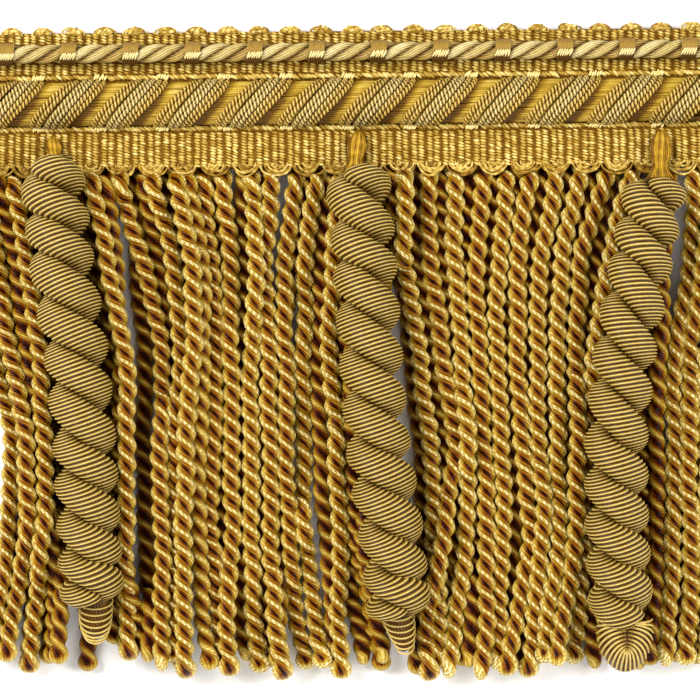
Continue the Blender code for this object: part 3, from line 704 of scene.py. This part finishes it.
def build_hangers():
    """The three hangers. Their strands close to a dome above and draw in below, each as a quarter round."""
    # Gimp: rayon thread wound tight round a cotton core; each wrap is painted as a bright line, a painted
    # highlight, over a dark groove, painted shade
    wound = thread_material("wound_gimp_thread", WOUND_STOPS, roughness=0.42, twist=(0.5, 30, 0.4), fuzz=0.2)
    # The core's brown satin yarn: lengthwise strands, darker than the wraps over it
    core = thread_material(
        "brown_satin_core", GIMP_STOPS, roughness=0.45, twist=(0.6, 80, 0.8), fuzz=0.3, lines=0.25
    )
    for number, row in enumerate(HANGERS, 1):
        y = np.arange(row.top_y, row.end_y, -WRAP_PITCH / 4)
        from_top = np.clip((row.top_y - y) / 4.0, 0, 1)
        from_end = np.clip((y - row.end_y) / 3.0, 0, 1)
        ends = np.sqrt(1 - (1 - from_top) ** 2) * (0.55 + 0.45 * np.sqrt(1 - (1 - from_end) ** 2))
        strands = hanger_strands(row, across_at([row], y)[0], y, np.maximum(ends, 0.12))
        loose, bare = hanger_end(number)
        add_piece(f"hanger_rope_{number}", [strands, loose], wound, [f"hanger_{number}"])
        add_piece(f"hanger_core_{number}", [bare], core)


YarnLoop = namedtuple("YarnLoop", "top_x top_y low_x low_y half_width")
YARN_LOOPS = (
    YarnLoop(-73.9, 54.4, -73.0, 47.8, 1.6),
    YarnLoop(2.6, 55.0, 1.4, 45.4, 2.1),
    YarnLoop(78.3, 54.8, 77.6, 42.5, 2.5),
)


def yarn_loop(loop):
    """Soft yarn hanging as a leaf: its threads part from one place, lie widest two fifths of the way down,
    draw together and spread again where they pass under the hanger."""
    side = np.linspace(-1, 1, 11)[:, None]
    down = np.linspace(0, 1, 18)[None]
    spread = np.interp(down, [0, 0.15, 0.4, 0.6, 0.75, 1], [0.3, 0.75, 1, 0.85, 0.65, 1.3])
    wander = 0.1 * np.sin(8 * down + 5 * side)
    x = loop.top_x + (loop.low_x - loop.top_x) * down + side * loop.half_width * spread + wander
    y = loop.top_y + (loop.low_y - loop.top_y) * down + 0 * side
    base = 6.2 - 1.4 * smoothstep(0.1, 0.0, down)
    z = base + 0.9 * np.sqrt(1 - 0.8 * side**2) + (hanger_z(loop.low_y) - 5.0 - base) * down**2.2
    radii = 0.17 + 0.2 * np.sin(np.pi * (0.06 + 0.88 * down)) + 0 * side
    tone = 0.66 - 0.25 * side**2 + 0.22 * np.sin(9 * side) + 0 * down
    return sweep(round_tubes(np.stack([x, y, z], axis=-1), radii, 6), tone[..., None])


def build_yarn_loops():
    """The three loops of yarn that the hangers hang from."""
    # Loose-spun yarn: matt, so it shows its deep yellow dye and the shadows between its threads
    yarn = thread_material(
        "deep_yellow_yarn", YARN_STOPS, roughness=0.65, twist=(0.45, 82, 0.8), fuzz=0.5, lines=0.2
    )
    for number, loop in enumerate(YARN_LOOPS, 1):
        add_piece(f"loop_of_yarn_{number}", [yarn_loop(loop)], yarn, [f"yarn_loop_{number}"])


# The heading


def ground_z(y):
    """Top of the woven ground: level, then lifted over the cord roots below the ramp."""
    return GROUND_TOP + GROUND_LIFT * smoothstep(RAMP_TOP_Y, RAMP_FOOT_Y, y)


def ground_cloth():
    """The woven ground as one closed section carried along the heading: its upper face follows ground_z and
    its lower face lies a cloth's thickness under it."""
    y = np.concatenate([[80.5], np.linspace(80.1, 57.0, 8), np.linspace(56.4, 52.4, 9), [49.0, 47.2, 46.6]])
    upper = np.stack([y, ground_z(y)], axis=-1)
    lower = np.stack([y, ground_z(y) - GROUND_TOP], axis=-1)[::-1]
    ring = np.concatenate([upper, lower])
    x = np.linspace(-HALF_LENGTH, HALF_LENGTH, 120)
    path = np.stack([x, 0 * x, 0 * x], axis=-1)[None]
    shape = (1, len(x), len(ring))
    across, over = np.broadcast_to(ring[:, 0], shape), np.broadcast_to(ring[:, 1], shape)
    return sweep(carry(path, across, over), 0.36)


def grains(x, y, length, slope, radius, lift, tone, bow=0.25):
    """Short fat threads, one at each x and y: straight in plan at the given slope, bowed up in the middle by
    the square of the sine, and tapered at both ends by its root."""
    share = np.linspace(-1, 1, 5)[None]
    dx, dy = np.cos(slope)[:, None], np.sin(slope)[:, None]
    path_x = x[:, None] + share * dx * length[:, None] / 2
    path_y = y[:, None] + share * dy * length[:, None] / 2
    path_z = ground_z(y)[:, None] + lift[:, None] - bow * share**2
    paths = np.stack([path_x, path_y, path_z], axis=-1)
    radii = radius[:, None] * (0.22 + 0.78 * np.sqrt(1 - share**2))
    # Painted light and shade: the tone is brightest in the thread's middle and darker towards both ends
    shade = tone[:, None] * (0.55 + 0.45 * (1 - share**2))
    return sweep(round_tubes(paths, radii, 6), np.clip(shade, 0, 1)[..., None])


def bar_rows(heights, random):
    """Stacked bars in woven columns, four columns to a scallop, a dark groove after every second one."""
    columns = np.arange(-HALF_LENGTH + COLUMN / 2, HALF_LENGTH, COLUMN)
    number = np.arange(len(columns))
    columns = columns + np.where(number % 2, -0.13, 0.13)
    x, y = (values.ravel() for values in np.meshgrid(columns, heights))
    count = len(x)
    x = x + random.normal(0, 0.05, count)
    y = y + random.normal(0, 0.04, count) + 0.16 * np.sin(x * 0.9)
    inside = np.abs(x) < HALF_LENGTH - 0.6
    x, y = x[inside], y[inside]
    count = len(x)
    return grains(
        x, y, random.normal(1.94, 0.1, count), random.normal(-0.3, 0.1, count),
        random.normal(0.33, 0.025, count), np.full(count, 0.22), random.uniform(0.66, 0.98, count),
    )


def slant_row(middle_y, slope_degrees, random):
    """A row of slanting strokes, with a group of bright, upright wraps at each repeat."""
    x = np.arange(-HALF_LENGTH + 1.4, HALF_LENGTH - 1.2, 1.05)
    count = len(x)
    wraps = FIRST_STITCH_X - REPEAT / 2 + REPEAT * np.arange(STITCHES + 1)
    away = np.abs(x[:, None] - wraps).min(axis=1)
    kept = away > 1.5
    x = x[kept] + random.normal(0, 0.1, kept.sum())
    count = len(x)
    strokes = grains(
        x, middle_y + random.normal(0, 0.12, count), random.normal(2.7, 0.25, count),
        np.radians(random.normal(slope_degrees, 6, count)), random.normal(0.43, 0.04, count),
        np.full(count, 0.42), random.uniform(0.6, 1.0, count), bow=0.3,
    )
    offsets = np.array([-1.25, -0.62, 0.0, 0.62, 1.25])
    x = (wraps[:, None] + offsets).ravel()
    x = x[np.abs(x) < HALF_LENGTH - 0.8]
    count = len(x)
    bright = grains(
        x, middle_y + random.normal(0, 0.12, count), random.normal(2.1, 0.2, count),
        np.radians(random.normal(68, 6, count)), random.normal(0.34, 0.03, count),
        np.full(count, 0.75), np.full(count, 1.05), bow=0.4,
    )
    return [strokes, bright]


def scallop_middles(phase, half_width):
    """Where the scallops of one edge lie along the trim."""
    middles = phase + SCALLOP * np.arange(-13, 14)
    return middles[np.abs(middles) < HALF_LENGTH - half_width]


def hump_bars(random):
    """The stacked bars that fill each scallop of the upper edge, in three leaning columns."""
    across = np.array([-1.35, 0.05, 1.4, -1.1, 0.1, 1.2, -0.45, 0.6])
    up = np.array([80.5, 80.6, 80.5, 81.05, 81.15, 81.05, 81.6, 81.55])
    middles = scallop_middles(TOP_PHASE, 2.6)[:, None]
    x = (middles + across + random.normal(0, 0.08, (len(middles), 8))).ravel()
    y = (0 * middles + up + random.normal(0, 0.06, (len(middles), 8))).ravel()
    count = len(x)
    return grains(
        x, y, random.normal(1.5, 0.12, count), random.normal(0.3, 0.3, count), random.normal(0.38, 0.03, count),
        np.full(count, 0.55), random.uniform(0.6, 1.0, count),
    )


def scallop_arcs(phase, base_y, half_width, depth, thickness, random):
    """Nested half-oval arcs, seven to a scallop: sideways place goes with the cosine and depth with the sine
    of the share of the way round, and each wanders off by sines of it."""
    middles = scallop_middles(phase, half_width)
    size = np.array([1.0, 0.87, 0.74, 0.61, 0.48, 0.36, 0.24])
    middle = np.repeat(middles, len(size))[:, None]
    size = np.tile(size, len(middles))[:, None]
    round_way = np.linspace(0, np.pi, 12)[None]
    wander = random.normal(0, 0.22, (len(middle), 1))
    size = size * random.normal(1, 0.05, size.shape)
    wave = random.normal(0, 0.09, size.shape) * np.sin(3 * round_way + random.uniform(0, 6, size.shape))
    x = middle + wander + (size + 0.5 * wave) * half_width * np.cos(round_way)
    y = base_y + (size + wave) * depth * np.sin(round_way)
    z = ground_z(y) + 0.1 + 0.5 * np.sin(round_way) * (1.2 - size)
    paths = np.stack([x, y, z], axis=-1)
    radii = np.broadcast_to(thickness * (0.6 + 0.4 * np.sin(round_way)), x.shape)
    tone = random.uniform(0.4, 0.85, (len(middle), 1)) + 0.14 * np.sin(9 * round_way + 7 * size)
    return sweep(round_tubes(paths, radii, 5), tone[..., None])


def plied_cord(paths, plies, offset, radius, lay, corners, tones, creams, phase=0.0):
    """Plies twisted round a path: each ply is a round tube whose middle turns about the path once in a lay."""
    length = np.concatenate([[0], np.cumsum(np.linalg.norm(np.diff(paths[0], axis=0), axis=-1))])
    sweeps = []
    for ply in range(plies):
        turn = phase + 2 * np.pi * (ply / plies - length / lay)
        centre = carry(
            paths, np.broadcast_to(offset * np.cos(turn)[:, None], (*paths.shape[:2], 1)),
            np.broadcast_to(offset * np.sin(turn)[:, None], (*paths.shape[:2], 1)),
        )[:, :, 0]
        points = round_tubes(centre, np.full(centre.shape[:2], radius), corners)
        outer = np.linalg.norm(points - paths[:, :, None], axis=-1)
        # Painted shade: each ply darkens towards the cord's middle, where the plies press together
        tone = tones[ply] * (0.1 + 0.9 * smoothstep(offset * 1.0, offset + radius, outer))
        sweeps.append(sweep(points, tone, creams[ply]))
    return sweeps


def couched_cord():
    """The three-ply cord along the heading, in cream, tan and gold."""
    x = np.linspace(-HALF_LENGTH, HALF_LENGTH, 300)
    path = np.stack([x, np.full_like(x, COUCHED_Y), np.full_like(x, COUCHED_Z)], axis=-1)[None]
    return plied_cord(path, 3, 1.12, 1.24, 15.75, 14, (0.9, 0.82, 0.76), (0.8, 0.6, 0.25), phase=1.0)


def couching(random):
    """Stitches over the couched cord: eight threads side by side over its crest, with painted light on top and
    painted shade, deep gold, below where they turn under the cord; and bright strokes over its lower side."""
    places = FIRST_STITCH_X + REPEAT * np.arange(STITCHES)
    offsets = np.linspace(-1.65, 1.65, 8)
    x = (places[:, None] + offsets).ravel()[:, None]
    angle = np.radians(np.linspace(-38, 218, 18))[None]
    reach = 2.62
    paths = np.stack(
        [
            x + 0.25 * np.cos(angle),
            COUCHED_Y + reach * np.cos(angle) + 0 * x,
            COUCHED_Z + reach * np.sin(angle) + 0 * x,
        ],
        axis=-1,
    )
    # Painted light and shade: lightest near the top of the cord, darkest where the threads turn under it
    tone = np.interp(np.degrees(angle[0]), [-40, 40, 75, 100, 130, 220], [0.34, 0.48, 0.58, 0.46, 0.2, 0.1])
    over = sweep(
        round_tubes(paths, np.full(paths.shape[:2], 0.3), 6, reference=(1.0, 0.0, 0.0)), tone[None, :, None], 0.2
    )
    x = (places[:, None] + np.linspace(-1.5, 1.5, 6)).ravel()
    count = len(x)
    share = np.linspace(-1, 1, 7)[None]
    slope = np.radians(62 + random.normal(0, 6, count))[:, None]
    across = COUCHED_Y - 0.75 + share * np.sin(slope) * 1.05
    dome = COUCHED_Z + np.sqrt(np.maximum(3.0**2 - (across - COUCHED_Y) ** 2, 0.1))
    paths = np.stack([x[:, None] + share * np.cos(slope) * 1.05, across, dome - 0.25 * share**2], axis=-1)
    radii = 0.25 * (0.3 + 0.7 * np.sqrt(1 - share**2)) + 0 * x[:, None]
    strokes = sweep(round_tubes(paths, radii, 6), 0.92, 0.3)
    return [over, strokes]


def satin_pillows(random):
    """Satin threads over the padded roll between one bundle and the next. Each keeps nearly the same angle
    on the roll, swells out between the bundles as the sine of its share, and starts along the bundle's slant."""
    middles = FIRST_STITCH_X + REPEAT * np.arange(-1, STITCHES)
    angles = np.radians(np.linspace(-78, 80, 22))
    middle, angle = (values.ravel()[:, None] for values in np.meshgrid(middles, angles))
    share = np.linspace(0, 1, 12)[None]
    x = middle + BUNDLE_SHEAR * np.sin(angle) + REPEAT * share
    turned = angle + 0.12 * (share - 0.5) + random.normal(0, 0.012, angle.shape)
    swell = 0.9 * np.sin(np.pi * share) ** 0.7
    y = ROLL_Y + (4.7 + swell * 0.5) * np.sin(turned)
    z = ROLL_Z + (3.7 + swell) * np.cos(turned)
    inside = (np.abs(x) < HALF_LENGTH - 0.3).all(axis=1)
    paths = np.stack([x, y, z], axis=-1)[inside]
    radii = np.full(paths.shape[:2], 0.37)
    # Painted light and shadow: each thread is dark over the first part of its way, beside the bundle on its
    # left, as that bundle's painted shadow, longer on the roll's lower side, and painted bright after it
    lower = smoothstep(0.95, -0.3, np.sin(angle))
    bright = smoothstep(0.28 + 0.14 * lower, 0.44 + 0.16 * lower, share + 0 * angle)
    tone = 0.2 + (0.52 + random.uniform(-0.2, 0.2, angle.shape)) * bright
    return sweep(round_tubes(paths, radii, 6), tone[inside][..., None], 0.1)


def roll_core():
    """The padded core under the satin: a half-round section carried along the heading, its dark tone painted
    shade that shows between the satin threads.
    """
    angle = np.radians(np.linspace(0, 180, 15))
    across = np.append(4.6 * np.cos(angle), [0.0])
    over = np.append(3.6 * np.sin(angle), [0.0])
    x = np.linspace(-HALF_LENGTH, HALF_LENGTH, 100)
    path = np.stack([x, np.full_like(x, ROLL_Y), np.full_like(x, ROLL_Z)], axis=-1)[None]
    shape = (1, len(x), len(across))
    return sweep(carry(path, np.broadcast_to(across, shape), np.broadcast_to(over, shape)), 0.15)


# Millimetres: a fine cord's place across its bundle, its height over the roll and how cream it is
BundleCord = namedtuple("BundleCord", "offset rise cream")
BUNDLE_CORDS = (
    BundleCord(-5.4, -0.1, 0.0),
    BundleCord(-3.6, 0.1, 0.15),
    BundleCord(-1.1, 0.25, 0.45),
    BundleCord(0.65, 0.3, 0.6),
    BundleCord(2.6, 0.1, 0.2),
    BundleCord(4.4, -0.1, 0.0),
)


def bundles():
    """Slanting bundles of fine two-ply cords over the roll: along the trim a cord goes with the sine of its
    angle on the roll, so that it looks straight from the front."""
    angle = np.radians(np.linspace(-84, 84, 52))
    sweeps = []
    middles = FIRST_STITCH_X + REPEAT * np.arange(STITCHES)
    for number, cord in enumerate(BUNDLE_CORDS):
        reach_y, reach_z = 5.35 + cord.rise, 5.1 + cord.rise
        x = middles[:, None] + cord.offset * (0.8 + 0.2 * np.cos(angle)) + BUNDLE_SHEAR * np.sin(angle)
        y = ROLL_Y + reach_y * np.sin(angle) + 0 * x
        z = ROLL_Z + reach_z * np.cos(angle) + 0 * x
        paths = np.stack([x, y, z], axis=-1)
        sweeps += fine_cord(paths, cord.cream, 1.9 * number + 1.3 * np.arange(STITCHES)[:, None])
    return sweeps


def fine_cord(paths, cream, phase):
    """A fine two-ply cord as one two-lobed section, turning once in a lay of two and a fifth millimetres."""
    corner = np.linspace(0, 2 * np.pi, 8, endpoint=False)
    lobe = np.abs(np.cos(corner))
    reach = 0.42 + 0.33 * lobe
    length = np.linalg.norm(np.diff(paths, axis=1), axis=-1)
    length = np.concatenate([np.zeros((len(paths), 1)), np.cumsum(length, axis=1)], axis=1)
    angle = corner - (phase + 2 * np.pi * length / 2.2)[..., None]
    points = carry(paths, reach * np.cos(angle), reach * np.sin(angle))
    # Painted shade: dark where the two plies meet, bright on each ply's lobe
    return [sweep(points, 0.1 + 0.82 * lobe**1.4, cream)]


def build_heading():
    """The woven ground with its bars and edges, the couched cord, the satin roll and its bundles."""
    random = np.random.default_rng(11)
    # Rayon gimp thread: fine and half glossy, so each bar of the weave catches a small highlight, which its tone
    # also
    # paints in: brighter in the bar's middle, darker towards its ends
    gimp = thread_material("woven_gimp_thread", GIMP_STOPS, CREAM_STOPS, 0.42, (0.45, 50, 0.35), 0.2)
    # Rayon floss: soft filaments laid along each ply, with dark lines painted between them as shade
    floss = thread_material(
        "couched_rayon_floss", GIMP_STOPS, CREAM_STOPS, 0.35, (0.55, 84, 1.0), 0.3, lines=0.3
    )
    # Cotton ground: dull and deep gold in the gaps between the bars
    cloth = thread_material("woven_ground_cloth", GIMP_STOPS, None, 0.7, (0.8, 0, 0.6), 0.3, specular=0.05)
    # Satin floss: smooth threads side by side, painted bright over most of each pillow and painted dark brown at
    # its start, as the shadow of the bundle beside it
    satin = thread_material("satin_floss", SATIN_STOPS, None, 0.42, (0.4, 85, 0.2), 0.15)
    ground = add_piece("ground_cloth", [ground_cloth()], cloth, ["heading_ground"])
    bars = [
        bar_rows([80.0, 79.3, 78.6, 77.9], random),
        bar_rows([72.6, 71.9, 71.2, 70.5], random),
        bar_rows(np.arange(54.9, 46.4, -BAR_STEP), random),
        hump_bars(random),
    ]
    add_piece("gimp_bars", bars, gimp)
    rows = slant_row(69.3, -36, random) + slant_row(56.4, -36, random)
    arcs = [
        scallop_arcs(TOP_PHASE, 79.8, 2.8, 1.95, 0.32, random),
        scallop_arcs(LOWER_PHASE, 47.6, 3.75, -3.3, 0.35, random),
    ]
    add_piece("gimp_edges", rows + arcs, gimp)
    add_piece("couched_plies", couched_cord(), floss, ["couched_cord"])
    add_piece("couching_stitches", couching(random), gimp)
    add_piece("satin_threads", [satin_pillows(random)], satin, ["satin_roll"])
    add_piece("roll_core", [roll_core()], cloth)
    add_piece(
        "bundle_cords", bundles(), gimp, [f"bundle_{n:02d}" for n in range(1, STITCHES + 1)]
    )


# The stage


def build_stage():
    """A pale floor, soft light from the upper left, and a camera straight above."""
    floor = bpy.data.meshes.new("floor")
    floor.from_pydata([(-3, -3, 0), (3, -3, 0), (3, 3, 0), (-3, 3, 0)], [], [(0, 1, 2, 3)])
    paint = bpy.data.materials.new("pale_floor")
    paint.use_nodes = True
    paint.node_tree.nodes["Principled BSDF"].inputs["Base Color"].default_value = linear("#F4F3F1")
    paint.node_tree.nodes["Principled BSDF"].inputs["Roughness"].default_value = 0.8
    floor.materials.append(paint)
    plane = bpy.data.objects.new("floor", floor)
    bpy.context.scene.collection.objects.link(plane)
    for name, place, turn, size, power in (
        ("key", (-0.7, 0.42, 0.75), (math.radians(-25), math.radians(-41), 0), 0.7, 18.6),
        ("fill", (0.75, 0.05, 0.6), (math.radians(-5), math.radians(51), 0), 0.6, 8.6),
        ("front", (0.0, -0.8, 0.5), (math.radians(58), 0, 0), 0.7, 5.6),
    ):
        lamp = bpy.data.lights.new(name, "AREA")
        lamp.size = size
        lamp.energy = power
        placed = bpy.data.objects.new(name, lamp)
        placed.location = place
        placed.rotation_euler = turn
        bpy.context.scene.collection.objects.link(placed)
    bpy.context.scene.view_settings.view_transform = "Standard"
    world = bpy.data.worlds.new("studio")
    world.use_nodes = True
    world.node_tree.nodes["Background"].inputs["Color"].default_value = linear("#FFFFFF")
    world.node_tree.nodes["Background"].inputs["Strength"].default_value = 0.24
    bpy.context.scene.world = world
    camera = bpy.data.cameras.new("camera")
    distance, shown_width = 1.2, 0.175
    camera.lens = camera.sensor_width * distance / shown_width
    placed = bpy.data.objects.new("camera", camera)
    placed.location = (0, 0.0005, distance + 0.006)
    placed.rotation_euler = (0, 0, math.radians(-0.5))
    bpy.context.scene.collection.objects.link(placed)
    bpy.context.scene.camera = placed


build_skirt()
build_hangers()
build_yarn_loops()
build_heading()
build_stage()
